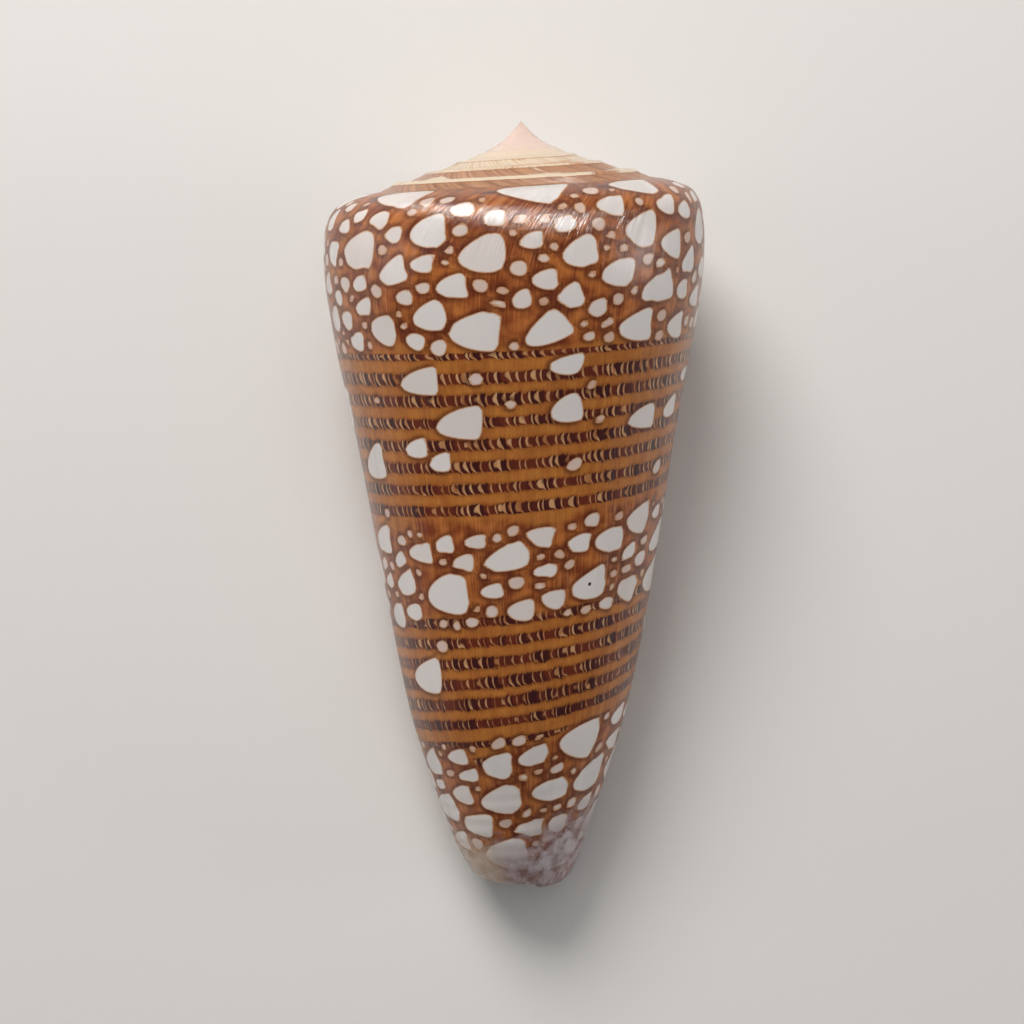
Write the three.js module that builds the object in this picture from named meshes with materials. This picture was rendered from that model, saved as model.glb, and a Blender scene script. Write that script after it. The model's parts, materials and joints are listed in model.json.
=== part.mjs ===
// A cone shell: the empty shell of a right-handed cone snail, grown in one piece.
// The shell is built round its own axis, with the apex at the origin, the base down the Y axis and
// the back towards +Z. It is then laid down on its aperture, with the spire towards +Y.
// Lengths are in millimetres. "Back" is a place round the spiral, in whorls back from the outer lip.

import * as THREE from 'three';
import { mergeVertices } from 'three/addons/utils/BufferGeometryUtils.js';

// Driving dimensions
const LENGTH = 60; // from the apex to the tip of the columella
const APEX_ROUNDING = 0.15; // how much of the spire's point is worn away
const LIP_TURN = -136 / 360; // where the outer lip is, in turns from the middle of the back
const LATE_GROWTH = 1.22; // how many times larger the last whorl is than the one before it
const EARLY_GROWTH = 1.5; // the same for the whorls of the spire
const GROWTH_CHANGE = 1.75; // how far back the growth slows down
const GROWTH_CHANGE_WIDTH = 0.25; // how gradually it does so
const SPIRE_WHORLS = 6; // whorls made one by one; inside them the spire is a plain point
const SPIRE_SLOPE = 0.3; // fall of the spire for each millimetre out from the axis
const SPIRE_POINT_HEIGHT = 1.68; // extra height of the sharp point in the middle of the spire
const SPIRE_POINT_RADIUS = 1.22; // how far out that point fades
const SPIRE_LEAN = 1.5; // lean of the spire and the shoulder towards the left, in degrees
const LEAN_END = 14; // drop at which the whorls no longer lean
const RAMP_SAG = 0.16; // hollow of the ramp between the suture and the shoulder
const WALL = 0.9; // thickness of the outer wall
const LIP_WALL = 0.55; // its thickness at the edge of the lip
const LIP_THINNING = 0.08; // how far back from the edge it is thinner
const CANAL_DEPTH = 20 / 48; // how far back the aperture is still open at the base
const CAVITY_DEPTH = 1; // how far back the hollow of the last whorl runs
const LIP_SWEEP = 0.03; // how far the lip is swept back at the shoulder
const LIP_NOTCH = 0.02; // how much deeper its notch is on the ramp
const SWEEP_WIDTH = 0.25; // how far from the lip the growth lines still follow it
const GATHER_START = 46; // drop at which the whorls begin to gather towards the base
const TAPER = 0.6; // how much narrower the columella is at its tip than the whorls' outline
const TAPER_START = 0.1; // how far back from the lip the whorl begins to narrow at its tip
const TAPER_RUN = 1.1; // over how many whorls it does so

// How the shell lies on its lip and its belly, in degrees
const REST_PITCH = 10.02;
const REST_ROLL = 0.48;

// The outline of the last whorl at the middle of the back, from the shoulder to the tip of the
// columella: distances from the axis, and drops from the apex
const OUTLINE = [
  [11.25, 5.06],
  [12.5, 5.38],
  [13.6, 5.98],
  [14.3, 7.1],
  [14.6, 10.5],
  [13.95, 16],
  [12.38, 24],
  [10.73, 34],
  [9.15, 43],
  [7.75, 49],
  [6.55, 54],
  [5.45, 57.5],
  [4.3, 59.3],
  [2.5, 60.05],
  [0, LENGTH + APEX_ROUNDING],
];
const LAST_PLACE = OUTLINE.length - 1;
const [SHOULDER_RADIUS, SHOULDER_DROP] = OUTLINE[0];
const [, TIP_DROP] = OUTLINE[LAST_PLACE];
const outlineCurve = new THREE.CatmullRomCurve3(
  OUTLINE.map(([radius, drop]) => new THREE.Vector3(radius, drop, 0)),
);

// Places along the outline, counted by its points
const COVERED = 0.3; // the suture of the next whorl, just below the shoulder
const ROOF = 3; // the top of the aperture, on the whorl that the last one wraps
const FLOOR = 10; // the floor of the hollow, behind the open part
const RIM = 12; // the corner where the side turns in at the base
const SWEEP_END = 5; // the growth lines are straight below this place

// How finely the surface is divided
const COLUMNS = 48; // in each whorl
const RAMP_ROWS = 4; // from the suture to the shoulder
const PLACES = [
  0, COVERED, 0.9, 1.5, 2, 2.5, ROOF, 3.5, 4, 4.5, 5, 5.5, 6, 6.5, 7, 7.5, 8, 8.5, 9, 9.5, FLOOR, 10.5,
  11, 11.5, RIM, 12.5, 13, 13.5, LAST_PLACE,
];
const COVERED_ROW = RAMP_ROWS + PLACES.indexOf(COVERED);
const ROOF_ROW = RAMP_ROWS + PLACES.indexOf(ROOF);
const FLOOR_ROW = RAMP_ROWS + PLACES.indexOf(FLOOR);
const RIM_ROW = RAMP_ROWS + PLACES.indexOf(RIM);
const TIP_ROW = RAMP_ROWS + PLACES.length - 1;
const ROOF_START = ROOF_ROW - COVERED_ROW; // the inside hangs free after this row
const NUDGE = 0.001; // a small step round the spiral, to find its direction

const { clamp, degToRad, lerp, smoothstep } = THREE.MathUtils;

// Logarithm of the shell's size at a place round the spiral, against its size at the lip
function logSize(back) {
  const late = Math.log(LATE_GROWTH);
  const early = Math.log(EARLY_GROWTH);
  const bend = (x) => GROWTH_CHANGE_WIDTH * Math.log1p(Math.exp(x / GROWTH_CHANGE_WIDTH));
  const past = bend(back - GROWTH_CHANGE) - bend(-GROWTH_CHANGE);
  return -late * back - (early - late) * past;
}

// Size of the whorl at a place round the spiral, against its size at the middle of the back
function size(back) {
  return Math.exp(logSize(back) - logSize(-LIP_TURN));
}

// Drop from the apex to a whorl's shoulder, for a shoulder of this radius
function spireDrop(radius) {
  const point = SPIRE_POINT_HEIGHT * (1 - Math.exp(-radius / SPIRE_POINT_RADIUS));
  return SPIRE_SLOPE * radius + point;
}

// The side of a whorl at a place along its outline, as a radius and a drop.
// Every whorl ends at the same tip, and the older ones narrow towards it to form the columella.
function side(back, place) {
  const scale = size(back);
  const shift = spireDrop(scale * SHOULDER_RADIUS) - scale * SHOULDER_DROP;
  const point = outlineCurve.getPoint(place / LAST_PLACE);
  const drop = shift + scale * point.y;
  const end = shift + scale * TIP_DROP;
  const gather = smoothstep(drop, GATHER_START, end);
  const age = clamp((back - TAPER_START) / TAPER_RUN, 0, 1);
  const narrowing = 1 - TAPER * age * gather;
  return new THREE.Vector2(scale * point.x * narrowing, drop + gather * (TIP_DROP - end));
}

// The ramp of a whorl, from 0 at the suture to 1 at the shoulder
function ramp(back, across) {
  const suture = side(back + 1, COVERED);
  const sag = RAMP_SAG * size(back) * Math.sin(Math.PI * across);
  return suture.lerp(side(back, 0), across).add(new THREE.Vector2(0, sag));
}

// How closely the surface follows the sweep of the lip: 1 at the lip, fading away from it
function nearLip(back) {
  const near = clamp(1 - Math.abs(back - Math.round(back)) / SWEEP_WIDTH, 0, 1);
  return near * near;
}

// How far the growth lines are swept back
function sweep(back, place) {
  return LIP_SWEEP * nearLip(back) * (1 - smoothstep(place, 0, SWEEP_END));
}

// A point in space from a place round the spiral, a radius and a drop
function around(back, { x: radius, y: drop }) {
  const angle = 2 * Math.PI * (LIP_TURN + back);
  const x = radius * Math.sin(angle);
  const lean = x * Math.tan(degToRad(SPIRE_LEAN)) * (1 - smoothstep(drop, SHOULDER_DROP, LEAN_END));
  return new THREE.Vector3(x, lean - drop, radius * Math.cos(angle));
}

function sidePoint(back, place) {
  const swept = back + sweep(back, place);
  return around(swept, side(swept, place));
}

function rampPoint(back, across) {
  const notch = LIP_NOTCH * nearLip(back) * Math.sin(Math.PI * across);
  const swept = back + lerp(sweep(back, COVERED), sweep(back, 0), across) + notch;
  return around(swept, ramp(swept, across));
}

// The outside, row by row: the ramp, the shoulder, the side and the base
function outside(back, row) {
  if (row === 0) return sidePoint(back + 1, COVERED);
  if (row < RAMP_ROWS) return rampPoint(back, row / RAMP_ROWS);
  return sidePoint(back, PLACES[row - RAMP_ROWS]);
}

// A point under the outside, one wall thickness in
function underside(back, row) {
  const down = outside(back, Math.min(row + 1, RIM_ROW)).sub(outside(back, row - 1));
  const along = outside(back + NUDGE, row).sub(outside(back - NUDGE, row));
  const inward = along.cross(down).normalize();
  const wall = lerp(LIP_WALL, WALL, smoothstep(back, 0, LIP_THINNING));
  return outside(back, row).addScaledVector(inward, wall);
}

// The inside of the last whorl: its first rows lie on the whorl that it wraps
function inside(back, row) {
  if (row <= ROOF_START) return outside(back + 1, COVERED_ROW + row);
  return underside(back, row);
}

// A chain of points along one column of a surface, from row to row
function chain(surface, back, firstRow, lastRow) {
  const points = [];
  const step = Math.sign(lastRow - firstRow);
  for (let row = firstRow; row !== lastRow + step; row += step) points.push(surface(back, row));
  return points;
}

// Triangles between two chains of points, leaving out those with no area
const corners = [];
const SAME_POINT = 1e-6;

function triangle(...points) {
  const sides = points.map((point, i) => point.distanceTo(points[(i + 1) % 3]));
  if (Math.min(...sides) < SAME_POINT) return;
  for (const point of points) corners.push(...point.toArray());
}

function strip(left, right) {
  for (let i = 1; i < left.length; i += 1) {
    triangle(left[i - 1], left[i], right[i]);
    triangle(left[i - 1], right[i], right[i - 1]);
  }
}

// A sheet from one place round the spiral to another, with a chain for each column
function sheet(from, to, chainAt) {
  for (let column = from * COLUMNS; column < to * COLUMNS; column += 1) {
    strip(chainAt(column / COLUMNS), chainAt((column + 1) / COLUMNS));
  }
}

// The outside of the last whorl: its rim is open over the canal, and the rest closes at the tip
sheet(0, CANAL_DEPTH, (back) => chain(outside, back, 0, RIM_ROW));
sheet(CANAL_DEPTH, 1, (back) => chain(outside, back, 0, TIP_ROW));

// The ramps of the spire, and the point inside them
const apex = new THREE.Vector3(0, -APEX_ROUNDING, 0);
sheet(1, SPIRE_WHORLS, (back) => chain(outside, back, 0, COVERED_ROW));
sheet(SPIRE_WHORLS - 1, SPIRE_WHORLS, (back) => [apex, outside(back, 0)]);
const innerEnd = chain(outside, SPIRE_WHORLS, 0, COVERED_ROW);
strip(innerEnd, innerEnd.map(() => apex));

// The edge of the outer lip, and the rim of the open part
strip(chain(inside, 0, 0, RIM_ROW), chain(outside, 0, 0, RIM_ROW));
sheet(0, CANAL_DEPTH, (back) => [outside(back, RIM_ROW), inside(back, RIM_ROW)]);

// The hollow: the underside of the wall, the whorl that it wraps, and the floor behind the canal
sheet(0, CANAL_DEPTH, (back) => chain(inside, back, RIM_ROW, ROOF_START));
sheet(CANAL_DEPTH, CAVITY_DEPTH, (back) => chain(inside, back, FLOOR_ROW, ROOF_START));
sheet(0, CANAL_DEPTH, (back) => chain(outside, back + 1, ROOF_ROW, TIP_ROW));
sheet(CANAL_DEPTH, CAVITY_DEPTH, (back) => chain(outside, back + 1, ROOF_ROW, FLOOR_ROW));
sheet(CANAL_DEPTH, CAVITY_DEPTH, (back) => [
  outside(back + 1, FLOOR_ROW),
  inside(back, FLOOR_ROW),
]);

// A wall across the hollow from the columella, as the first chain, to the underside of the wall.
// The first point of the columella's chain meets all the points of the roof.
function crossWall(columella, wall) {
  const roof = Array(wall.length - columella.length).fill(columella[0]);
  strip([...roof, ...columella], wall);
}

// The end of the canal, under the floor, and the far end of the hollow
const pillar = chain(outside, CANAL_DEPTH + 1, FLOOR_ROW, TIP_ROW);
const rimIndex = RIM_ROW - FLOOR_ROW;
strip(
  [...pillar.slice(0, rimIndex + 1), ...pillar.slice(rimIndex)],
  [
    ...chain(inside, CANAL_DEPTH, FLOOR_ROW, RIM_ROW),
    ...chain(outside, CANAL_DEPTH, RIM_ROW, TIP_ROW),
  ],
);
crossWall(
  chain(outside, CAVITY_DEPTH + 1, ROOF_ROW, FLOOR_ROW),
  chain(inside, CAVITY_DEPTH, ROOF_START, FLOOR_ROW),
);

const geometry = mergeVertices(
  new THREE.BufferGeometry().setAttribute(
    'position',
    new THREE.Float32BufferAttribute(corners, 3),
  ),
);
geometry.computeVertexNormals();

const material = new THREE.MeshStandardMaterial({
  name: 'patterned_shell',
  color: 0xa5622b,
  roughness: 0.25,
  metalness: 0,
});
const shell = new THREE.Mesh(geometry, material);
shell.name = 'shell';
shell.rotation.set(degToRad(REST_PITCH), degToRad(REST_ROLL), 0);

// Centred over the middle of its box, with its lowest point on the surface that it lies on
const box = new THREE.Box3().setFromObject(shell, true);
const middle = box.getCenter(new THREE.Vector3());
shell.position.set(-middle.x, -middle.y, -box.min.z);

const coneShell = new THREE.Group();
coneShell.add(shell);

export default coneShell;
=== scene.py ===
"""A cone shell lying on its aperture, with its net of white tents and its two dashed bands.

The shell is grown by the same spiral as the part, on a finer mesh. Lengths are in millimetres until
the mesh is made. "Back" is a place round the spiral, in whorls back from the outer lip. "Line" is a
place across the whorl: -1 at the suture, 0 at the shoulder, then the outline's points down to the base.
"""

import json
import math

import bpy
import numpy as np
from mathutils import Matrix, Vector
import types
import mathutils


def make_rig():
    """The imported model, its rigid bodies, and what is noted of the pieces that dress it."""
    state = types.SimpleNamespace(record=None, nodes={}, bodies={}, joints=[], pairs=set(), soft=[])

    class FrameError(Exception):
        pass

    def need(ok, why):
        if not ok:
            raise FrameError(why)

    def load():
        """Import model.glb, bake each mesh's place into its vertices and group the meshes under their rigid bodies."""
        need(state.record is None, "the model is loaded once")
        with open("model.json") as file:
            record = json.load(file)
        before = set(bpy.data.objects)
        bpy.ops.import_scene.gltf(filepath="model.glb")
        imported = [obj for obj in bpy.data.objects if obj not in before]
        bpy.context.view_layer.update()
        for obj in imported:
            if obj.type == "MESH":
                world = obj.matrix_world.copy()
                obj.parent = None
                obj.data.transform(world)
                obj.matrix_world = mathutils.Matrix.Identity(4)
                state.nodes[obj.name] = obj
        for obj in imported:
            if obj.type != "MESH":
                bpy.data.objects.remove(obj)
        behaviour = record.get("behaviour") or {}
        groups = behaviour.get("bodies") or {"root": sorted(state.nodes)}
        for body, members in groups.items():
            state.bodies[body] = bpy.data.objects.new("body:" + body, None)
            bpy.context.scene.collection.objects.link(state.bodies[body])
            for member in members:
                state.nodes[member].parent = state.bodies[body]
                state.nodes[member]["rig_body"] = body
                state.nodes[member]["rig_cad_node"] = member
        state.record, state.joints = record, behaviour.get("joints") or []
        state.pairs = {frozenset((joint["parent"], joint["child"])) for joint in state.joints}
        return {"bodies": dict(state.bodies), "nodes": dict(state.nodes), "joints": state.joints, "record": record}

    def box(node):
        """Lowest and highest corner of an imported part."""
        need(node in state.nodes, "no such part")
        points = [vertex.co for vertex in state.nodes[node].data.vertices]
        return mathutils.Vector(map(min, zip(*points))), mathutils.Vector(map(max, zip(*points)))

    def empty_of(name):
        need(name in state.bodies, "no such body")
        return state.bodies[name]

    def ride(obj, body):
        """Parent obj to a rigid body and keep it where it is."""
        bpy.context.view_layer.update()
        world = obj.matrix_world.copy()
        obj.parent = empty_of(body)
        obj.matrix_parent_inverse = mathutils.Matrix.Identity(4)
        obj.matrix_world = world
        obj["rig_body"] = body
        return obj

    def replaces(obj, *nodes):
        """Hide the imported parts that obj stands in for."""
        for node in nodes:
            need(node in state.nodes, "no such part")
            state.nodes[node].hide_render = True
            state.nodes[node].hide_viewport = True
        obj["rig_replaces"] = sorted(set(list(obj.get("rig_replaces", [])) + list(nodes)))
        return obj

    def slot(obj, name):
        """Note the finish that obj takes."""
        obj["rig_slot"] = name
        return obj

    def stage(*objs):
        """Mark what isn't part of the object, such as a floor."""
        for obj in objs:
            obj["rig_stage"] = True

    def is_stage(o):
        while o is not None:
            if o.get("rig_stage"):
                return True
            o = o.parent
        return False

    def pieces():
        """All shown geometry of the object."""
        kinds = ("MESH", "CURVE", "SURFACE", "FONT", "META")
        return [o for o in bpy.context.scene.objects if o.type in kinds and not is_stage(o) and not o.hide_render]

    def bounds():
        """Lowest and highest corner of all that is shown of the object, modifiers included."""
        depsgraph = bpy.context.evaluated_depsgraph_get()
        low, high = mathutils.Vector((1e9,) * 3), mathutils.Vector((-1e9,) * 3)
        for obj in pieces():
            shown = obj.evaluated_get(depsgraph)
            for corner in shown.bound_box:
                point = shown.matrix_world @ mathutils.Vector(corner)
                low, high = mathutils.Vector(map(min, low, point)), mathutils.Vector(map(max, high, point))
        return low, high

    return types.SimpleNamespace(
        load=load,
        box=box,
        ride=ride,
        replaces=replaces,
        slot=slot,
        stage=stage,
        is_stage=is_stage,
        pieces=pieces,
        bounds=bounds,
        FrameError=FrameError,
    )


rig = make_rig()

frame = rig.load()
cad_low, cad_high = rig.bounds()

MM = 0.001

# ---------------------------------------------------------------- growth of the shell

LIP_TURN = -136 / 360  # where the outer lip is, in turns from the middle of the back
LATE_GROWTH, EARLY_GROWTH = 1.22, 1.5  # growth of the last whorl, and of the whorls of the spire
GROWTH_CHANGE, GROWTH_CHANGE_WIDTH = 1.75, 0.25  # how far back it slows, and how gradually
SPIRE_SLOPE = 0.3  # fall of the spire for each millimetre out from the axis
SPIRE_POINT_HEIGHT, SPIRE_POINT_RADIUS = 1.68, 1.22  # the sharper point in the middle of the spire
SPIRE_WHORLS = 8
SPIRE_LEAN, LEAN_END = 1.5, 14  # lean of the spire in degrees, and the drop where it has gone
APEX_ROUNDING = 0.15  # how much of the spire's point is worn away
RAMP_SAG = 0.16  # hollow of the ramp between the suture and the shoulder
WALL, LIP_WALL, LIP_THINNING = 0.9, 0.55, 0.08  # thicknesses, and how far back the lip is thinner
CANAL_DEPTH, CAVITY_DEPTH = 5 / 12, 1  # how far back the base is open, and how far the hollow runs
LIP_SWEEP, LIP_NOTCH, SWEEP_WIDTH = 0.03, 0.02, 0.25  # the lip's sweep back, its notch, and their reach
GATHER_START = 46  # drop at which the whorls begin to gather towards the base
TAPER, TAPER_START, TAPER_RUN = 0.6, 0.1, 1.1  # how the older whorls narrow to the columella
REST_PITCH, REST_ROLL = 10.02, 0.48  # how the shell lies on its lip and its belly, in degrees

# The outline of the last whorl at the middle of the back: distances from the axis, and drops
OUTLINE = np.array([
    (11.25, 5.06), (12.5, 5.38), (13.6, 5.98), (14.3, 7.1), (14.6, 10.5), (13.95, 16), (12.38, 24),
    (10.73, 34), (9.15, 43), (7.75, 49), (6.55, 54), (5.45, 57.5), (4.3, 59.3), (2.5, 60.05),
    (0, 60.15),
])
SHOULDER_RADIUS, SHOULDER_DROP = OUTLINE[0]
TIP_DROP = OUTLINE[-1, 1]
TIP = len(OUTLINE) - 1

# Lines: the next whorl's suture, where the inside meets the older whorl, where the closed part of the
# hollow ends, the corner at the base, and where the lip's sweep ends
COVERED, ROOF, FLOOR, RIM, SWEEP_END = 0.3, 3, 10, 12, 5
ROOF_START, LINING_START = 0.6, 0.8  # the inside hangs free of the older whorl from here on
EDGE = 0.0022  # how far back the rounding of the lip's edge reaches
SMALL_STEP = 0.001


def smooth_step(value, low, high):
    share = np.clip((value - low) / (high - low), 0, 1)
    return share * share * (3 - 2 * share)


def mix(a, b, share):
    return a + (b - a) * share


def outline(place):
    """Radius and drop at a place along the outline, on a centripetal curve through its points."""
    ends = np.vstack([2 * OUTLINE[0] - OUTLINE[1], OUTLINE, 2 * OUTLINE[-1] - OUTLINE[-2]])
    first = np.clip(np.floor(place).astype(int), 0, TIP - 1)
    share = (place - first)[..., None]
    before, start, end, after = (ends[first + i] for i in range(4))
    roots = [
        np.sqrt(np.linalg.norm(b - a, axis=-1, keepdims=True))
        for a, b in ((before, start), (start, end), (end, after))
    ]
    leave = (start - before) / roots[0] - (end - before) / (roots[0] + roots[1])
    leave = (leave + (end - start) / roots[1]) * roots[1]
    arrive = (end - start) / roots[1] - (after - start) / (roots[1] + roots[2])
    arrive = (arrive + (after - end) / roots[2]) * roots[1]
    square, cube = share**2, share**3
    point = (2 * cube - 3 * square + 1) * start + (3 * square - 2 * cube) * end
    point = point + (cube - 2 * square + share) * leave + (cube - square) * arrive
    return point[..., 0], point[..., 1]


def size(back):
    """Size of the whorl against its size at the middle of the back."""
    late, early = math.log(LATE_GROWTH), math.log(EARLY_GROWTH)

    def log_size(b):
        past = [
            GROWTH_CHANGE_WIDTH * np.log1p(np.exp((x - GROWTH_CHANGE) / GROWTH_CHANGE_WIDTH))
            for x in (b, 0)
        ]
        return -late * b - (early - late) * (past[0] - past[1])

    return np.exp(log_size(back) - log_size(-LIP_TURN))


def side(back, place):
    """Radius and drop of the side of a whorl. All whorls end at one tip, the older ones narrower."""
    scale = size(back)
    shoulder = scale * SHOULDER_RADIUS
    spire = SPIRE_SLOPE * shoulder + SPIRE_POINT_HEIGHT * (1 - np.exp(-shoulder / SPIRE_POINT_RADIUS))
    shift = spire - scale * SHOULDER_DROP
    radius, drop = outline(place)
    drop, end = shift + scale * drop, shift + scale * TIP_DROP
    gather = smooth_step(drop, GATHER_START, np.maximum(end, GATHER_START + SMALL_STEP))
    age = np.clip((back - TAPER_START) / TAPER_RUN, 0, 1)
    return scale * radius * (1 - TAPER * age * gather), drop + gather * (TIP_DROP - end)


def ramp(back, across):
    """Radius and drop of the ramp, from 0 at the suture to 1 at the shoulder."""
    suture = side(back + 1, np.full_like(back, COVERED))
    shoulder = side(back, np.zeros_like(back))
    sag = RAMP_SAG * size(back) * np.sin(np.pi * across)
    return mix(suture[0], shoulder[0], across), mix(suture[1], shoulder[1], across) + sag


def near_lip(back):
    return np.clip(1 - np.abs(back - np.round(back)) / SWEEP_WIDTH, 0, 1) ** 2


def sweep(back, place):
    """How far the growth lines are swept back."""
    return LIP_SWEEP * near_lip(back) * (1 - smooth_step(place, 0, SWEEP_END))


def around(back, radius, drop):
    """A point in space from a place round the spiral, a radius and a drop from the apex."""
    angle = 2 * np.pi * (LIP_TURN + back)
    x = radius * np.sin(angle)
    lean = x * math.tan(math.radians(SPIRE_LEAN)) * (1 - smooth_step(drop, SHOULDER_DROP, LEAN_END))
    return np.stack([x, lean - drop, radius * np.cos(angle)], -1)


def smooth_outside(back, line):
    """A point of the outside, before its relief."""
    back, line = np.broadcast_arrays(np.asarray(back, float), np.asarray(line, float))
    place, across = np.maximum(line, 0), np.clip(line + 1, 0, 1)
    on_side = back + sweep(back, place)
    notch = LIP_NOTCH * near_lip(back) * np.sin(np.pi * across)
    on_ramp = back + mix(sweep(back, COVERED), sweep(back, 0), across) + notch
    side_points = around(on_side, *side(on_side, place))
    ramp_points = around(on_ramp, *ramp(on_ramp, across))
    return np.where((line < 0)[..., None], ramp_points, side_points)


def inward(back, line):
    """The direction into the wall."""
    down = smooth_outside(back, np.minimum(line + 0.01, RIM)) - smooth_outside(back, line - 0.01)
    along = smooth_outside(back + SMALL_STEP, line) - smooth_outside(back - SMALL_STEP, line)
    direction = np.cross(along, down)
    return direction / np.maximum(np.linalg.norm(direction, axis=-1, keepdims=True), 1e-9)


# Ridges left by growth pauses: waves round the spiral of every length from a whole whorl down
RIDGE_COUNTS = np.round(np.geomspace(14, 260, 26))
RIDGE_PHASES = np.random.default_rng(11).uniform(0, 2 * np.pi, len(RIDGE_COUNTS))
RIDGE_HEIGHT = 0.05
BAY_DEPTH, BAY_HEIGHT = 0.05, 2.6  # how far growth lines curve back at the shoulder, over what drop
CORD_HEIGHT, CORD_SPACING = 0.022, 1.15
CORDS_BEGIN, CORDS_END = (47, 53), (58, 60)  # drops over which the cords at the base come and go
GROOVE_HEIGHT, GROOVES = 0.02, 3.5  # the lines along the ramp, and how many there are across it
SPIRE_RIM, SPIRE_RIM_WIDTH = 0.2, 0.16  # raised edge of each whorl of the spire, above the next suture


def growth_place(back, line):
    """Which growth line a point is on. The lines curve back towards the shoulder."""
    _, drop = outline(np.maximum(line, 0))
    bay = np.exp(-(drop - SHOULDER_DROP) / BAY_HEIGHT)
    return back - BAY_DEPTH * bay * (1 - 0.8 * np.clip(-line, 0, 1))


def relief(back, line):
    """Height of the surface's own relief: growth ridges, cords at the base, lines on the ramp."""
    _, drop = outline(np.maximum(line, 0))
    rim = np.exp(-((line / SPIRE_RIM_WIDTH) ** 2)) * smooth_step(back, 0.95, 1.1)
    back = growth_place(back, line)
    waves = np.sin(2 * np.pi * RIDGE_COUNTS * back[..., None] + RIDGE_PHASES).mean(-1)
    cords = np.sin(2 * np.pi * drop / CORD_SPACING) * smooth_step(drop, *CORDS_BEGIN)
    grooves = np.sin(2 * np.pi * GROOVES * (line + 1)) * (line < 0) * smooth_step(line, -1, -0.8)
    return (
        RIDGE_HEIGHT * waves + CORD_HEIGHT * cords * (1 - smooth_step(drop, *CORDS_END))
        + GROOVE_HEIGHT * grooves * size(back) + SPIRE_RIM * rim
    )


def outside(back, line):
    back, line = np.broadcast_arrays(np.asarray(back, float), np.asarray(line, float))
    fade = smooth_step(TIP - line, 0, 1) * smooth_step(line + 1, 0, 0.1)
    height = relief(back, line) * fade * np.clip(size(back), 0, 1)
    return smooth_outside(back, line) - inward(back, line) * height[..., None]


def inside(back, line):
    """The inside of the last whorl. Its first rows lie on the whorl that it wraps."""
    back, line = np.broadcast_arrays(np.asarray(back, float), np.asarray(line, float))
    wrapped = np.clip((line + 1) / (ROOF_START + 1), 0, 1)
    older = smooth_outside(back + 1, mix(COVERED, ROOF, wrapped))
    wall = mix(LIP_WALL, WALL, smooth_step(back, 0, LIP_THINNING))[..., None]
    under = smooth_outside(back, line) + inward(back, line) * wall
    return np.where((line <= ROOF_START)[..., None], older, under)


# ---------------------------------------------------------------- the fine mesh

COLUMNS = 340  # round each whorl
RAMP_ROWS = 6
FINE, PLAIN = 0.27, 0.40  # row spacing where there are tents, and in the bands
PLAIN_DROPS = ((17.5, 28.5), (38, 45))


def outline_lengths():
    """Places along the outline, with the length of the outline up to each and its drop."""
    places = np.linspace(0, TIP, 4001)
    radius, drop = outline(places)
    steps = np.hypot(np.diff(radius), np.diff(drop))
    return places, np.concatenate([[0], np.cumsum(steps)]), radius, drop


PLACES, LENGTHS, RADII, DROPS = outline_lengths()


def spread_rows():
    """Lines of the mesh: close together where the tents are, wider apart in the bands."""
    in_band = np.any([(DROPS > top) & (DROPS < bottom) for top, bottom in PLAIN_DROPS], 0)
    spacing = np.where(in_band, PLAIN, FINE)
    rows = np.concatenate([[0], np.cumsum(np.diff(LENGTHS) / spacing[1:])])
    places = np.interp(np.linspace(0, rows[-1], int(rows[-1]) + 1), rows, PLACES)
    for key in (COVERED, ROOF, FLOOR, RIM):
        places[np.abs(places - key).argmin()] = key
    return np.concatenate([np.linspace(-1, 0, RAMP_ROWS + 1)[:-1], places])


class Skin:
    """The shell's mesh while it is put together: points, where each is on the shell, and triangles."""

    def __init__(self):
        self.points, self.backs, self.lines, self.linings = [], [], [], []
        self.triangles = []
        self.count = 0

    def add(self, points, back, line, lining=0.0):
        """Adds points and returns their numbers, in the same arrangement."""
        shape = points.shape[:-1]
        self.points.append(points.reshape(-1, 3))
        for store, value in ((self.backs, back), (self.lines, line), (self.linings, lining)):
            store.append(np.broadcast_to(np.asarray(value, float), shape).reshape(-1))
        first, self.count = self.count, self.count + len(self.points[-1])
        return np.arange(first, self.count).reshape(shape)

    def quads(self, a, b, c, d):
        self.triangles += [np.stack([a, b, c], -1).reshape(-1, 3), np.stack([a, c, d], -1).reshape(-1, 3)]

    def sheet(self, grid):
        """A sheet whose chains run down the whorl, one for each column."""
        self.quads(grid[:-1, :-1], grid[:-1, 1:], grid[1:, 1:], grid[1:, :-1])

    def fan(self, middle, chain):
        """Triangles from one point to a chain of points."""
        self.triangles.append(np.array([(middle, a, b) for a, b in zip(chain[:-1], chain[1:])]))

    def bridge(self, left, right):
        """A strip between two chains, which may have different numbers of points."""
        points = np.concatenate(self.points)
        shares = []
        for chain in (left, right):
            steps = np.linalg.norm(np.diff(points[chain], axis=0), axis=1)
            lengths = np.concatenate([[0], np.cumsum(steps)])
            shares.append(lengths / max(lengths[-1], 1e-9))
        i = j = 0
        made = []
        while i < len(left) - 1 or j < len(right) - 1:
            left_next = j == len(right) - 1 or (i < len(left) - 1 and shares[0][i + 1] <= shares[1][j + 1])
            if left_next:
                made.append((left[i], left[i + 1], right[j]))
                i += 1
            else:
                made.append((left[i], right[j + 1], right[j]))
                j += 1
        self.triangles.append(np.array(made))


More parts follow.
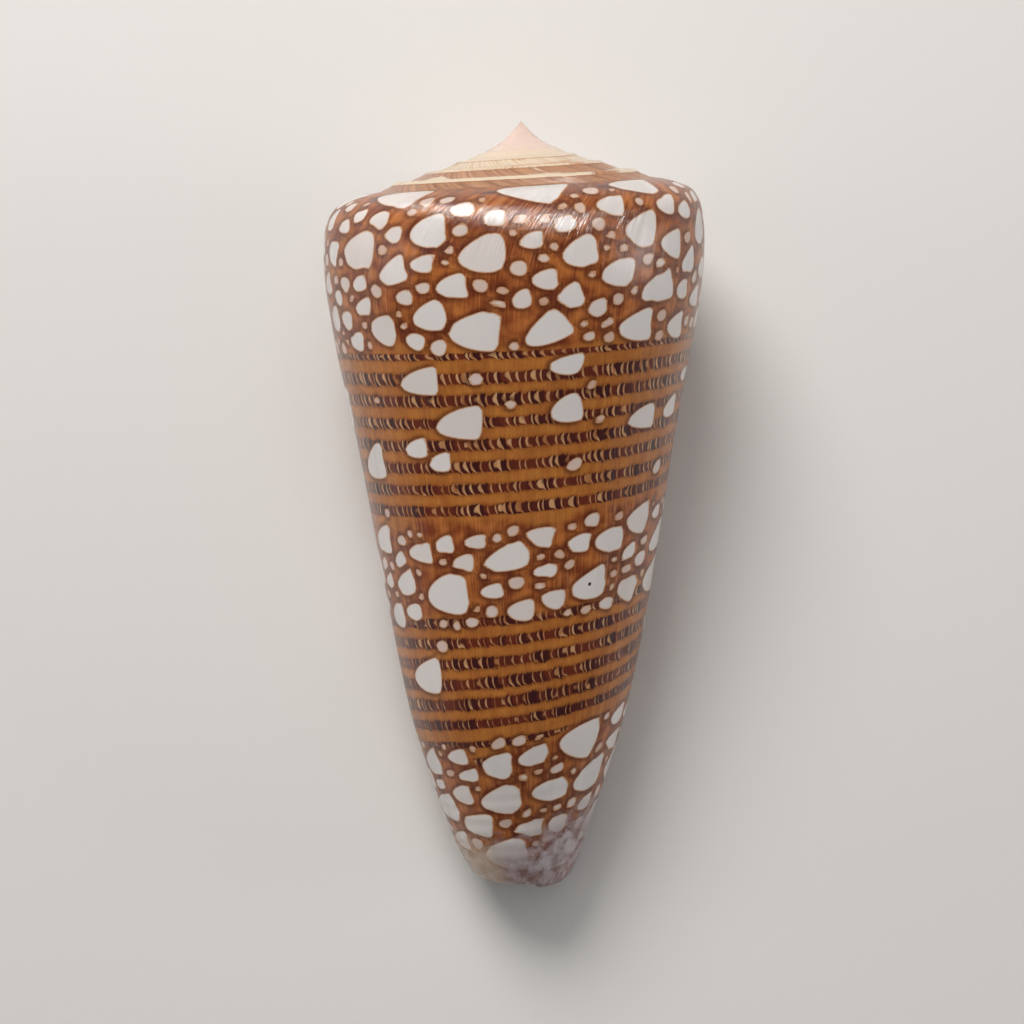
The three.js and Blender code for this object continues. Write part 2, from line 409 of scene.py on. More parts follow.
def grow():
    """Builds the whole shell as one closed skin."""
    skin = Skin()
    lines = spread_rows()

    def row(line):
        return int(np.abs(lines - line).argmin())

    covered, roof, floor, rim = row(COVERED), row(ROOF), row(FLOOR), row(RIM)
    backs = np.arange(COLUMNS + 1) / COLUMNS
    backs[0] = EDGE
    canal = round(CANAL_DEPTH * COLUMNS)

    # Each ramp starts exactly on the older whorl's side
    older = np.arange(COLUMNS, SPIRE_WHORLS * COLUMNS + 1) / COLUMNS
    spire_lines = lines[: covered + 1]
    spire_points = outside(older[:, None], spire_lines)
    spire_points[:-COLUMNS, 0] = spire_points[COLUMNS:, -1]
    outer_points = outside(backs[:, None], lines)
    outer_points[1:, 0] = spire_points[1 : COLUMNS + 1, -1]

    # The outside of the last whorl: its rim is open over the canal, and the rest closes at the tip
    outer = skin.add(outer_points, backs[:, None], lines)
    tip = outer[-1, -1]
    outer[:, -1] = tip
    skin.sheet(outer[:, : rim + 1])
    skin.sheet(outer[canal:, rim:])

    # The ramps of the spire, and its point
    spire = skin.add(spire_points, older[:, None], spire_lines)
    spire[0] = outer[-1, : covered + 1]
    skin.sheet(spire)
    apex = skin.add(np.array([[0, -APEX_ROUNDING, 0]]), SPIRE_WHORLS, -1)
    last = spire[-COLUMNS - 1 :, 0]
    skin.sheet(np.stack([np.broadcast_to(apex, last.shape), last], -1))
    skin.sheet(np.stack([spire[-1], np.broadcast_to(apex, spire[-1].shape)]))

    # The rounded edge of the outer lip
    lip_lines = lines[: rim + 1]
    edge = [outer[0, : rim + 1]]
    for angle in np.radians([45, 90, 135]):
        back = EDGE * (1 - math.sin(angle))
        share = (1 - math.cos(angle)) / 2
        points = mix(outside(back, lip_lines), inside(back, lip_lines), share)
        edge.append(skin.add(points, back, lip_lines, share))
    free = lip_lines[lip_lines > ROOF_START]
    lip = np.concatenate([
        outer[-1, covered : roof + 1],
        skin.add(inside(EDGE, free), EDGE, free, 1),
    ])
    for nearer, farther in zip(edge[:-1], edge[1:]):
        skin.bridge(farther, nearer)
    skin.bridge(lip, edge[-1])

    # The lining of the last whorl and the pillar that it turns round, on a coarser grid
    deep = np.unique(np.concatenate([
        np.linspace(0, 0.1, 9), np.linspace(0.1, CANAL_DEPTH, 21),
        np.linspace(CANAL_DEPTH, CAVITY_DEPTH, 22),
    ]))[1:, None]
    stop = int(np.abs(deep[:, 0] - CANAL_DEPTH).argmin())
    keys = [row(v) for v in (ROOF, FLOOR, RIM)]
    pillar_rows = np.unique(np.concatenate([np.arange(roof, len(lines), 4), keys, [len(lines) - 1]]))
    lining_rows = np.unique(np.concatenate([np.arange(row(LINING_START), rim, 4), keys[1:]]))
    pillar_lines, lining_lines = lines[pillar_rows], lines[lining_rows]
    whitening = smooth_step(deep, 0, 0.05)
    pillar = skin.add(smooth_outside(deep + 1, pillar_lines), deep + 1, pillar_lines, whitening)
    pillar[:, -1] = tip
    lining = skin.add(inside(deep, lining_lines), deep, lining_lines, 1)
    pillar_floor = int(np.searchsorted(pillar_rows, floor))
    lining_floor = int(np.searchsorted(lining_rows, floor))
    skin.bridge(outer[-1, roof:], pillar[0])
    skin.sheet(pillar[: stop + 1])
    skin.sheet(pillar[stop:, : pillar_floor + 1])
    vault = np.concatenate([lining[:, ::-1], pillar[:, :1]], 1)
    lip_inside = np.concatenate([lip[roof - covered + 1 :][::-1], [outer[-1, roof]]])
    skin.bridge(lip_inside, vault[0])
    skin.sheet(vault[: stop + 1])
    skin.sheet(vault[stop:, len(lining_rows) - 1 - lining_floor :])

    # The rim of the open part, the corner of the lip, the floor and the two end walls
    rim_inside = np.concatenate([[lip[-1]], lining[: stop + 1, -1]])
    skin.bridge(rim_inside, outer[: canal + 1, rim])
    skin.fan(outer[0, rim], [*[chain[-1] for chain in edge[1:]], lip[-1]])
    skin.fan(lip[0], [*[chain[0] for chain in edge[::-1]], outer[1, 0]])
    floor_strip = np.stack([pillar[stop:, pillar_floor], lining[stop:, lining_floor]], -1)
    skin.sheet(floor_strip)
    end_wall = np.concatenate([lining[stop, lining_floor:], outer[canal, rim:]])
    skin.bridge(pillar[stop, pillar_floor:], end_wall)
    far_wall = np.concatenate([pillar[-1, :1], lining[-1, : lining_floor + 1]])
    skin.bridge(pillar[-1, : pillar_floor + 1], far_wall)
    return skin


# ---------------------------------------------------------------- the markings

# Where the nets of tents are, and the bands of dashed rows between them, by drop
NETS = [(5.5, 16.5), (30, 37), (46.5, 57.5)]
BANDS = [(16.3, 29.3), (36.3, 46.4)]
SHOULDER_TENTS = 9  # large tents that lie over the shoulder, round the whole shell
SHOULDER_TENT_DROP = SHOULDER_DROP + 0.3
PIT_BACK, PIT_DROP = 0.45, 35  # a small pit in one tent of the middle net, not modelled but shown by a dark spot of painted shade
PIT_TENT = (3, 2.4, 10, 0.6)  # that tent's length, height, tilt and nose

# Tents tried in a net of NET_WIDTH, the largest first: how many, and the least and greatest length
NET_WIDTH = 16
NET_TENTS = [(36, 2.9, 4.0), (260, 2.1, 2.9), (2600, 1.5, 2.1), (4200, 0.9, 1.5), (4200, 0.6, 0.9)]
SMALL_TENTS = 1.5  # tents under this length come right up to the edge of their net
EDGE_OF_NET = 0.6
BAND_TENT_TRIES = (28, 5)

# The rows of dashes: two sets, evenly spaced, the rows in each of uneven weight
DASH_ROWS = np.concatenate([np.linspace(15.3, 30, 10), np.linspace(35.2, 48, 9)])
DASH_HEFT = np.random.default_rng(3).uniform(0.72, 1.1, len(DASH_ROWS))
DASH_HEFT[[0, 9, 10]] = 0  # rows out of sight under the nets
DASH_HEFT[[1, -2]] = 0.5  # thin rows at the edges of the bands
LOWER_BAND_DIP, DIP_TURN, DIP_WIDTH = 2.3, -24, 15  # the lower band reaches further down here
GAP = 0.18  # room left round a new tent
BETWEEN_TENTS = 0.55  # width of ground kept between two tents that meet


def length_at(drop):
    """Length of the outline down to this drop. Above the shoulder it runs in over the ramp."""
    drop = np.asarray(drop, float)
    return np.where(drop < SHOULDER_DROP, drop - SHOULDER_DROP, np.interp(drop, DROPS, LENGTHS))


def radius_at(length):
    """Radius of the outline at this length down it."""
    return np.where(length < 0, SHOULDER_RADIUS + length, np.interp(length, LENGTHS, RADII))


def fill_nets(rng):
    """All the tents: a row over the shoulder, then ever smaller ones wherever there is still room."""
    first, last = 360 * LIP_TURN, 360 * (LIP_TURN + 1)
    apart = (last - first) / SHOULDER_TENTS
    at_shoulder = float(length_at(SHOULDER_TENT_DROP))
    tents = [
        (first + (number + rng.uniform(0.25, 0.75)) * apart, at_shoulder,
         rng.uniform(3.9, 4.8), rng.uniform(2.3, 3.4), rng.normal(1, 4), 0.7)
        for number in range(SHOULDER_TENTS)
    ]
    tents.append((360 * (LIP_TURN + PIT_BACK), float(length_at(PIT_DROP)), *PIT_TENT))

    def place_tents(tries, low, high, drops):
        for _ in range(tries):
            turn, drop = rng.uniform(first - 6, last + 6), rng.uniform(*drops)
            long = rng.uniform(low, high)
            tall = long * rng.uniform(0.62, 0.95)
            tilt, nose = rng.normal(6, 10), rng.uniform(0.45, 0.8)
            at = float(length_at(drop))
            scale = float(size(turn / 360 - LIP_TURN))
            known = np.array(tents)
            middle = (known[:, 1] + at) / 2
            across = np.radians(known[:, 0] - turn) * radius_at(middle) * scale
            reach = np.hypot(
                across / ((known[:, 2] + long) * 0.53 + GAP),
                (known[:, 1] - at) * scale / ((known[:, 3] + tall) * 0.53 + GAP),
            )
            if reach.min() > 1:
                tents.append((turn, at, long, tall, tilt, nose))

    for top, bottom in NETS:
        share = (bottom - top) / NET_WIDTH
        for tries, shortest, longest in NET_TENTS:
            edge = EDGE_OF_NET if shortest >= SMALL_TENTS else 0
            place_tents(int(tries * share), shortest, longest, (top + edge, bottom - edge))
    for (top, bottom), tries in zip(BANDS, BAND_TENT_TRIES):
        place_tents(tries, 1.8, 3.9, (top + 1.5, bottom - 1))
        place_tents(tries, 0.7, 1.3, (top + 1, bottom))
    return tents


def tent_outline(long, tall, tilt, nose, rng):
    """Outline of a tent: a rounded nose towards the lip, and an end cut along a growth line."""
    small = float(smooth_step(2.3 - long, 0, 1.3))
    share = np.linspace(0, 1, 21) ** 1.5
    rounding = rng.uniform(0.03, 0.09) + 0.14 * small
    corner = np.clip((share - 1 + rounding) / rounding, 0, 1)
    flanks = []
    for widest, narrowing in (
        (rng.uniform(0.86, 1.0), rng.uniform(0, 0.08)),
        (rng.uniform(0.68, 0.95), rng.uniform(0.04, 0.3)),
    ):
        rise = np.clip(share / widest, 0, 1)
        flank = (1 - (1 - rise) ** (2.05 - 0.7 * nose)) ** (0.42 + 0.18 * nose)
        past = np.clip((share - widest) / (1.02 - widest), 0, 1)
        flank = flank * (1 - narrowing * past**2) * (0.8 + 0.2 * np.sqrt(1 - corner**2))
        flanks.append(mix(flank, np.sqrt(1 - (2 * share - 1) ** 2), 0.6 * small))
    upper, lower = flanks if rng.uniform() < 0.75 else flanks[::-1]
    end = np.linspace(0, 1, 9)[1:-1]
    bow = rng.uniform(-0.06, 0.05) * 4 * (end - end**2)
    slant = rng.uniform(-0.02, 0.13)
    lift = rng.uniform(-0.08, 0.08)
    height = np.concatenate([upper, mix(upper[-1], -lower[-1], end), -lower[::-1]])
    run = np.concatenate([share, 1 + bow, share[::-1]])
    run = run + slant * height * run
    height = height + lift * (run - run**2) * 4
    x, y = (run - 0.52) * long, height * tall / 2
    angle = math.radians(tilt)
    return np.stack([
        x * math.cos(angle) - y * math.sin(angle),
        x * math.sin(angle) + y * math.cos(angle),
    ], -1)


def distance_inside(points, corners):
    """Distance of points from a closed outline, positive inside it."""
    start, end = corners, np.roll(corners, -1, 0)
    edge = end - start
    keep = np.einsum("ij,ij->i", edge, edge) > 1e-12
    start, end, edge = start[keep], end[keep], edge[keep]
    offset = points[:, None] - start
    along = np.clip((offset * edge).sum(-1) / (edge * edge).sum(-1), 0, 1)
    nearest = np.linalg.norm(offset - along[..., None] * edge, axis=-1).min(1)
    x, y = points[:, :1], points[:, 1:]
    crosses = (start[:, 1] > y) != (end[:, 1] > y)
    rise = np.where(edge[:, 1] == 0, 1, edge[:, 1])
    meets = x < start[:, 0] + (y - start[:, 1]) * edge[:, 0] / rise
    return np.where((crosses & meets).sum(1) % 2 == 1, nearest, -nearest)


def mark(back, line, radius):
    """What each point of the shell carries for its colours."""
    rng = np.random.default_rng(5)
    turn = 360 * (LIP_TURN + back)
    _, drop = outline(np.maximum(line, 0))
    scale = size(back)
    on_ramp = line < 0
    shoulder = side(back, np.zeros_like(back))
    across = ramp(back, np.clip(line + 1, 0, 1))
    inward_run = np.hypot(across[0] - shoulder[0], across[1] - shoulder[1]) / scale
    length = np.where(on_ramp, -inward_run, np.interp(np.maximum(line, 0), PLACES, LENGTHS))

    tent, next_tent = np.full(back.shape, -2.0), np.full(back.shape, -2.0)
    tint = np.zeros(back.shape)
    nose = np.zeros(back.shape)
    margin = 1.2
    tents = fill_nets(rng)
    for centre, at, long, tall, tilt, pointed in tents:
        corners = tent_outline(long, tall, tilt, pointed, rng)
        shade = rng.uniform() ** 2 * 0.2
        shade += rng.uniform(0.35, 0.85) * float(smooth_step(1.9 - long, 0, 1.1))
        x = np.radians(turn - centre) * radius
        y = (at - length) * scale
        near = np.flatnonzero((np.abs(x) < long / 2 + margin) & (np.abs(y) < tall * 0.7 + margin))
        if not len(near):
            continue
        found = distance_inside(np.stack([x[near], y[near]], -1), corners)
        better = near[found > tent[near]]
        nose[better] = np.clip(x[better] / long * 2, -1.5, 1.5)
        tint[better] = shade
        next_tent[near] = np.maximum(next_tent[near], np.minimum(tent[near], found))
        tent[near] = np.maximum(tent[near], found)
    tent = np.minimum(tent, (tent - next_tent - BETWEEN_TENTS) / 2)
    row = np.interp(drop, DASH_ROWS, np.arange(len(DASH_ROWS)))
    waver = 0.35 * np.sin(np.radians(turn) * 5 + 1) + 0.25 * np.sin(np.radians(turn) * 11)
    banded = np.zeros(back.shape)
    for top, bottom in BANDS:
        longer = LOWER_BAND_DIP * np.exp(-(((turn - DIP_TURN) / DIP_WIDTH) ** 2)) * (top > 30)
        low, high = drop - top - waver * 0.6, bottom + waver + longer - drop
        banded = np.maximum(banded, smooth_step(np.minimum(low, high), -0.35, 0.35))

    # Dark spots on the shoulder, at the noses of its tents
    stain = np.zeros(back.shape)
    for centre, at, long, *_ in tents[:SHOULDER_TENTS]:
        x = np.radians(turn - centre) * radius + long * 0.62
        y = (at - length) * scale
        stain = np.maximum(stain, np.exp(-((x / 0.8) ** 2) - (y / 0.35) ** 2))
    return {
        "turn": back,
        "drop": drop,
        "growth": growth_place(back, line),
        "tent": tent,
        "tint": tint,
        "nose": nose,
        "stain": stain,
        "row": row,
        "heft": np.interp(drop, DASH_ROWS, DASH_HEFT),
        "banded": banded * (line > 0),
        "ramp": np.where(on_ramp, -line, 0),
    }


def turned(degrees, axis):
    return Matrix.Rotation(math.radians(degrees), 3, axis)


AT_REST = turned(REST_PITCH, "X") @ turned(REST_ROLL, "Y")


def lay_down(points):
    """The shell as it rests, in metres, over the middle of the part's box."""
    turned_points = points @ np.array(AT_REST).T * MM
    low, high = turned_points.min(0), turned_points.max(0)
    corner, far_corner = (np.array(v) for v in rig.box("shell"))
    move = (corner + far_corner) / 2 - (low + high) / 2
    move[2] = corner[2] - low[2]
    return turned_points + move, move


def make_shell():
    skin = grow()
    points = np.concatenate(skin.points)
    triangles = np.concatenate(skin.triangles)
    a, b, c = triangles.T
    triangles = triangles[(a != b) & (b != c) & (c != a)]
    used, numbers = np.unique(triangles, return_inverse=True)
    points = points[used]
    back, line, lining = (np.concatenate(v)[used] for v in (skin.backs, skin.lines, skin.linings))
    marks = mark(back, line, np.hypot(points[:, 0], points[:, 2]))
    marks["lining"] = lining
    laid, move = lay_down(points)
    mesh = bpy.data.meshes.new("shell_surface")
    mesh.from_pydata(laid.tolist(), [], numbers.reshape(-1, 3).tolist())
    for name, values in marks.items():
        mesh.attributes.new(name, "FLOAT", "POINT").data.foreach_set("value", values.astype(np.float32))
    mesh.polygons.foreach_set("use_smooth", np.ones(len(mesh.polygons), bool))
    mesh.set_sharp_from_angle(angle=math.radians(55))
    mesh.validate()
    shell = bpy.data.objects.new("patterned_cone_shell", mesh)
    bpy.context.scene.collection.objects.link(shell)
    return shell, move


# ---------------------------------------------------------------- shader values


class Value:
    """A value in a material, on which Python's operators work."""

    def __init__(self, finish, socket):
        self.finish, self.socket = finish, socket

    def maths(self, operation, *values):
        sockets = dict(enumerate(values))
        return self.finish.node("ShaderNodeMath", {"operation": operation}, sockets)

    def __add__(self, other):
        return self.maths("ADD", self, other)

    def __radd__(self, other):
        return self.maths("ADD", other, self)

    def __sub__(self, other):
        return self.maths("SUBTRACT", self, other)

    def __rsub__(self, other):
        return self.maths("SUBTRACT", other, self)

    def __mul__(self, other):
        return self.maths("MULTIPLY", self, other)

    def __rmul__(self, other):
        return self.maths("MULTIPLY", other, self)

    def __truediv__(self, other):
        return self.maths("DIVIDE", self, other)

    def __abs__(self):
        return self.maths("ABSOLUTE", self)

    def __round__(self):
        return self.maths("ROUND", self)

    def larger(self, other):
        return self.maths("MAXIMUM", self, other)

    def smaller(self, other):
        return self.maths("MINIMUM", self, other)

    def step(self, low, high):
        """0 below low and 1 above high, with a soft change between."""
        settings = {"interpolation_type": "SMOOTHSTEP"}
        sockets = {"Value": self, "From Min": low, "From Max": high}
        return self.finish.node("ShaderNodeMapRange", settings, sockets)


class Finish:
    """A material and its nodes."""

    def __init__(self, name):
        self.material = bpy.data.materials.new(name)
        self.material.use_nodes = True
        self.tree = self.material.node_tree
        self.tree.nodes.clear()

    def node(self, kind, settings, sockets, output=0):
        """Adds a node: its settings first, then the values or links of its sockets."""
        made = self.tree.nodes.new(kind)
        for name, value in settings.items():
            setattr(made, name, value)
        for name, value in sockets.items():
            if isinstance(value, Value):
                self.tree.links.new(value.socket, made.inputs[name])
            else:
                made.inputs[name].default_value = value
        return Value(self, made.outputs[output]) if made.outputs else None

    def carried(self, name):
        """A value that the mesh carries."""
        return self.node("ShaderNodeAttribute", {"attribute_name": name}, {}, "Fac")

    def place(self, x, y, z=0.0):
        """A place for a noise to be read at."""
        return self.node("ShaderNodeCombineXYZ", {}, {"X": x, "Y": y, "Z": z})

    def noise(self, at, scale=1.0, detail=2.0, roughness=0.5):
        return self.node("ShaderNodeTexNoise", {}, {
            "Vector": at, "Scale": scale, "Detail": detail, "Roughness": roughness,
        })

    def blend(self, share, a, b):
        """Colour a where share is 0, and b where it is 1."""
        return self.node("ShaderNodeMix", {"data_type": "RGBA"}, {0: share, 6: a, 7: b}, 2)


def colour(code):
    """A colour from its usual six-figure code."""
    parts = [int(code[i : i + 2], 16) / 255 for i in (0, 2, 4)]
    return (*[p / 12.92 if p <= 0.04045 else ((p + 0.055) / 1.055) ** 2.4 for p in parts], 1.0)


TENT_WHITE = colour("e7e1de")
TENT_PINK = colour("cfa994")
TENT_RIM = colour("cf9a6c")
GROUND = colour("c27336")
GROUND_DEEP = colour("7e3817")
# The next colour is painted sheen: the pale of side light reflected by growth ridges on the ground
PAINTED_SHEEN = colour("d39a6c")
OUTLINE_BROWN = colour("47140a")
OCHRE = colour("c98036")
OCHRE_DEEP = colour("a56028")
DASH = colour("3c0d0c")
DASH_BROWN = colour("6a2912")
CRESCENT = colour("d3a373")
CRESCENT_DIM = colour("a8683a")
ROW_SHADE = colour("8a4a1c")
BASE_GREY = colour("b9acb0")
BASE_PURPLE = colour("846664")
BASE_TAN = colour("c9b49a")
RAMP_BROWN = colour("c48a5c")
RAMP_DARK = colour("925a36")
SPIRE_CREAM = colour("e3ceb2")
RAMP_PALE = colour("c99f76")
SPIRE_TIP = colour("e6cabc")
SHOULDER_PURPLE = colour("3a1626")
LINING_WHITE = colour("ece6e4")


ROW_HALF_WIDTH = 0.29  # of a row of dashes, as a share of the space between rows
DASHES_ROUND, FEWER_EACH_ROW = 139, 2.7  # dashes in a whole turn, and how many fewer in each next row
FINE_LINES, BROAD_LINES, PAUSES = 620, 130, 22  # how close together growth lines and pauses are
PIT_TURN_WIDTH = 66  # length of a whole turn at the pit
TENT_EDGE_ROUGHNESS = 0.06


def patterned_finish():
    """The shell's glossy surface: the net of tents, the dashed bands, the spire and the base."""
    finish = Finish("patterned_shell")
    turn, drop, tent, grown = (finish.carried(n) for n in ("turn", "drop", "tent", "growth"))
    tint, nose, row, heft, banded = (finish.carried(n) for n in ("tint", "nose", "row", "heft", "banded"))
    on_ramp, lining = finish.carried("ramp"), finish.carried("lining")

    # Growth lines: fine ones close together, and broad ones; stronger where growth paused and at the left of the
    # shoulder. The same zones carry streaks of painted sheen on the ground.
    fine = finish.noise(finish.place(grown * FINE_LINES, drop * 0.25), 1, 3, 0.6)
    broad = finish.noise(finish.place(grown * BROAD_LINES, drop * 0.12, 7.0), 1, 2)
    ridges_and_sheen = finish.noise(finish.place(grown * PAUSES, drop * 0.09, 11.0), 1, 1).step(0.5, 0.66)
    left_shoulder = turn.step(0.28, 0.32) * (1 - turn.step(0.40, 0.44)) * (1 - drop.step(7, 12))
    ridges_and_sheen = ridges_and_sheen.larger(left_shoulder * 0.9)
    patches = finish.noise(finish.place(turn * 46, drop * 0.7, 3.0), 1, 2)
    growth = fine * 0.6 + broad * 0.4
    # A window on the right side that gets more streaks of painted sheen, standing for a side light's reflection
    right_side_sheen = turn.step(0.462, 0.47) * (1 - turn.step(0.495, 0.505))
    right_side_sheen = right_side_sheen * drop.step(14, 16) * (1 - drop.step(40, 43))

    # Ground between the tents, with streaks of painted sheen where side light would glint off the growth ridges
    lit = (growth - 0.5) * 2.0 + (patches - 0.5) * 1.8 + 0.5
    ground = finish.blend(lit.step(0.05, 0.95), GROUND_DEEP, GROUND)
    painted_sheen_streaks = fine.step(0.5, 0.72) * (ridges_and_sheen * 0.55 + right_side_sheen * 0.5).smaller(0.8)
    ground = finish.blend(painted_sheen_streaks, ground, PAINTED_SHEEN)

    # The bands: rows of dark dashes with thin pale crescents between, on ochre
    number = round(row)
    below = (row - number) / (heft * ROW_HALF_WIDTH + 0.001)
    phase = turn * (DASHES_ROUND - number * FEWER_EACH_ROW)
    bend = below * below * 0.24 + below * 0.14
    wobble = finish.noise(finish.place(turn * 90, drop * 0.25, number * 3.7), 1, 1) * 1.9
    dash_place = phase + wobble - bend + number * 17.3
    gap = finish.node("ShaderNodeTexVoronoi", {
        "voronoi_dimensions": "1D", "feature": "DISTANCE_TO_EDGE",
    }, {"W": dash_place, "Scale": 1.0, "Randomness": 0.75}, "Distance")
    chance = finish.node("ShaderNodeTexWhiteNoise", {
        "noise_dimensions": "1D",
    }, {"W": round(dash_place)}, "Value")
    speckle = finish.noise(finish.place(turn * 260, drop * 2.2, 6.0), 1, 2) - 0.5
    width = 0.25 - number * 0.006 - below * below * 0.10 - chance * 0.10 + speckle * 0.14
    crescent = (width - gap).step(-0.06, 0.08)
    ragged = finish.noise(finish.place(turn * 420, drop * 3, number * 5.1), 1, 2) - 0.5
    reach = abs(below) * (0.85 + chance * 0.3)
    in_row = (1.0 - reach + ragged * 0.9 + speckle * 0.5).step(-0.08, 0.25) * heft.step(0.1, 0.3)
    dashes = finish.blend((chance * 0.8 + broad * 0.5).step(0.3, 1.0), DASH, DASH_BROWN)
    pale = finish.blend(broad.step(0.35, 0.65), CRESCENT_DIM, CRESCENT)
    dashes = finish.blend(crescent, dashes, pale)
    ochre = finish.blend((growth * 0.9 + patches * 0.5).step(0.5, 1.0), OCHRE_DEEP, OCHRE)
    ochre = finish.blend((1.5 - reach + ragged * 0.6).step(0.0, 0.6) * 0.6, ochre, ROW_SHADE)
    bands = finish.blend(in_row, ochre, dashes)
    skin_colour = finish.blend(banded, ground, bands)

    # The spire: brown ramps with pale flames along their outer edge, paler towards the apex
    ribs = finish.noise(finish.place(grown * 300, on_ramp * 0.5, 9.0), 1, 2)
    flames = finish.noise(finish.place(turn * 9, on_ramp * 1.2, 5.0), 1, 1)
    ramp_colour = finish.blend((ribs * 0.7 + broad * 0.5).step(0.42, 0.75), RAMP_DARK, RAMP_BROWN)
    flame = (flames * 3 + ribs * 0.6 - on_ramp * 1.1 - 1.4).step(0.0, 0.14) * turn.step(0.97, 1.02)
    ramp_colour = finish.blend(flame, ramp_colour, SPIRE_CREAM)
    ribbed_cream = finish.blend((ribs + broad * 0.4).step(0.62, 0.9) * 0.8, SPIRE_CREAM, RAMP_PALE)
    older_colour = finish.blend((flames + ribs * 0.3).step(0.74, 0.84), ribbed_cream, RAMP_BROWN)
    ramp_colour = finish.blend(turn.step(1.98, 2.06), ramp_colour, older_colour)
    ramp_colour = finish.blend(turn.step(2.9, 3.2), ramp_colour, SPIRE_CREAM)
    suture = on_ramp.step(0.86, 1.0) * (1 - turn.step(2.6, 3.2))
    ramp_colour = finish.blend(suture * 0.55, ramp_colour, RAMP_DARK)
    ramp_colour = finish.blend(turn.step(2.8, 5.0), ramp_colour, SPIRE_TIP)
    on_spire = on_ramp.step(0.0, 0.35).larger(turn.step(1.0, 1.01))
    skin_colour = finish.blend(on_spire, skin_colour, ramp_colour)
    skin_colour = finish.blend(finish.carried("stain"), skin_colour, SHOULDER_PURPLE)

    # The tents, with a thin warm rim and a dark outline that is strongest round the nose
    jagged = finish.noise(finish.place(turn * 300, drop * 5, 4.0), 1, 2) - 0.5
    roughened = tent + jagged * TENT_EDGE_ROUGHNESS
    soft_end = 1 - nose.step(0.55, 1.05) * 0.75
    halo = roughened.step(-0.50, -0.10) * soft_end * (1 - turn.step(1.8, 2.6))
    skin_colour = finish.blend(halo * 0.66, skin_colour, OUTLINE_BROWN)
    skin_colour = finish.blend(roughened.step(-0.08, -0.01), skin_colour, TENT_RIM)
    white = finish.blend(tint, TENT_WHITE, TENT_PINK)
    skin_colour = finish.blend(roughened.step(-0.03, 0.09), skin_colour, white)
    # The pit is not modelled: its dark spot is painted shade
    across_pit, down_pit = (turn - PIT_BACK) * PIT_TURN_WIDTH, drop - PIT_DROP
    painted_pit_shade = 1 - (across_pit * across_pit + down_pit * down_pit).step(0.01, 0.03)
    skin_colour = finish.blend(painted_pit_shade, skin_colour, SHOULDER_PURPLE)

    # The worn base, greyish and mottled
    mottle = finish.noise(finish.place(turn * 30, drop * 1.0, 5.0), 1, 4, 0.6)
    base = (drop + mottle * 6 - 3 + turn.step(0.33, 0.48) * 1.8).step(54.0, 57.5)
    base_colour = finish.blend(mottle.step(0.36, 0.62), BASE_PURPLE, BASE_GREY)
    base_colour = finish.blend((1 - turn.step(0.25, 0.34)) * 0.8, base_colour, BASE_TAN)
    skin_colour = finish.blend(base * 0.85, skin_colour, base_colour)

    # The inside of the aperture
    skin_colour = finish.blend(lining.step(0.2, 0.9), skin_colour, LINING_WHITE)

    # Growth lines stand out most at the shoulder and least on the point of the spire
    ridged = 1 + (1 - drop.step(7, 11)) * (1 - turn.step(0.9, 1.0)) * 1.0 - turn.step(1.9, 2.6) * 0.8
    bump = finish.node("ShaderNodeBump", {}, {
        "Strength": 0.9, "Distance": 0.00004, "Height": (fine * (0.6 + ridges_and_sheen * 1.4) + broad) * ridged,
    }, "Normal")
    shader = finish.node("ShaderNodeBsdfPrincipled", {}, {
        "Base Color": skin_colour,
        "Roughness": 0.12 + growth * 0.16,
        "Normal": bump,
        "IOR": 1.5,
    }, "BSDF")
    finish.node("ShaderNodeOutputMaterial", {}, {"Surface": shader})
    return finish.material


def floor_finish():
    finish = Finish("pale_floor")
    shader = finish.node("ShaderNodeBsdfPrincipled", {}, {
        "Base Color": colour("e4e2df"), "Roughness": 0.7, "Specular IOR Level": 0.2,
    }, "BSDF")
    finish.node("ShaderNodeOutputMaterial", {}, {"Surface": shader})
    return finish.material


# ---------------------------------------------------------------- the piece

shell, move = make_shell()
shell.data.materials.append(patterned_finish())
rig.ride(shell, "root")
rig.replaces(shell, "shell")
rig.slot(shell, "patterned_shell")

# ---------------------------------------------------------------- floor, light and camera

FLOOR_REACH = 2.0
floor_corners = [(x * FLOOR_REACH, y * FLOOR_REACH, 0) for x, y in ((-1, -1), (1, -1), (1, 1), (-1, 1))]
floor_mesh = bpy.data.meshes.new("floor")
floor_mesh.from_pydata(floor_corners, [], [(0, 1, 2, 3)])
floor = bpy.data.objects.new("floor", floor_mesh)
bpy.context.scene.collection.objects.link(floor)
floor.data.materials.append(floor_finish())
floor.location.z = cad_low.z
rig.stage(floor)


def softbox(name, place, target, width, power, tone):
    """A soft area light that faces a point."""
    light = bpy.data.lights.new(name, "AREA")
    light.shape, light.size, light.energy, light.color = "DISK", width, power, tone
    holder = bpy.data.objects.new(name, light)
    bpy.context.scene.collection.objects.link(holder)
    holder.location = place
    direction = Vector(target) - Vector(place)
    holder.rotation_euler = direction.to_track_quat("-Z", "Y").to_euler()
    return holder


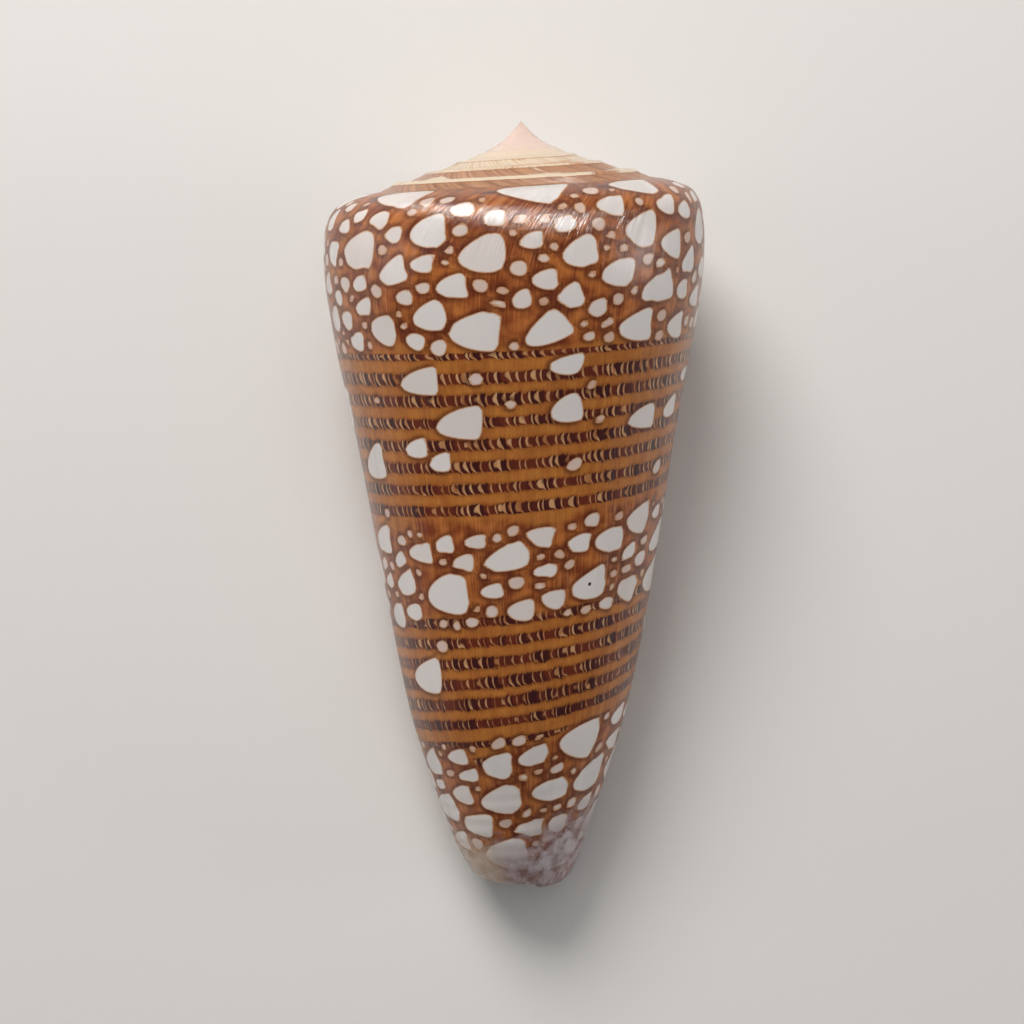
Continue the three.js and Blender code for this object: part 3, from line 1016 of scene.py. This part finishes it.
middle = (cad_low + cad_high) / 2
softbox("key", middle + Vector((-0.085, 0.25, 0.26)), middle, 0.2, 1.0, (1.0, 0.97, 0.94))
softbox("left", middle + Vector((-0.4, 0.03, 0.06)), middle, 0.16, 0.2, (1.0, 0.98, 0.97))
softbox("right", middle + Vector((0.4, 0.0, 0.1)), middle, 0.16, 0.3, (1.0, 0.98, 0.97))
glint = softbox("glint", middle + Vector((-0.08, 0.208, 0.28)), middle, 0.17, 4.2, (1.0, 0.97, 0.94))
glint.visible_diffuse = False  # it only adds the bright reflection on the shoulder
overhead = softbox("overhead", middle + Vector((0.05, 0.22, 0.62)), middle, 0.5, 0.82, (1.0, 0.98, 0.96))
overhead.visible_glossy = False  # it only fills: its reflection would veil the whole back

world = bpy.data.worlds.new("studio")
bpy.context.scene.world = world
world.use_nodes = True
world.node_tree.nodes["Background"].inputs[0].default_value = colour("dcdde0")
world.node_tree.nodes["Background"].inputs[1].default_value = 0.2
bpy.context.scene.view_settings.view_transform = "Standard"

# The camera looks down on the back, with the shell's axis tilted a little and turned in the picture
VIEW_TILT, VIEW_TURN = 8.0, -0.87  # degrees
VIEW_HEIGHT = 183.4  # above the apex
VIEW_ACROSS, VIEW_DOWN = -0.69, -30.04  # from the apex, in the picture's plane
FRAME_WIDTH = 78.26  # what the picture takes in at the apex

facing = AT_REST @ turned(-VIEW_TILT, "X") @ turned(VIEW_TURN, "Z")
camera_data = bpy.data.cameras.new("camera")
camera_data.sensor_width = 36
camera_data.lens = camera_data.sensor_width * VIEW_HEIGHT / FRAME_WIDTH
camera_data.clip_start = 0.01
camera = bpy.data.objects.new("camera", camera_data)
bpy.context.scene.collection.objects.link(camera)
camera.matrix_world = Matrix.LocRotScale(
    Vector(move) + facing @ Vector((VIEW_ACROSS, VIEW_DOWN, VIEW_HEIGHT)) * MM, facing, None
)
bpy.context.scene.camera = camera

low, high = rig.bounds()
with open("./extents.json", "w") as size_file:
    json.dump({"cad": [list(cad_low), list(cad_high)], "visual": [list(low), list(high)]}, size_file)
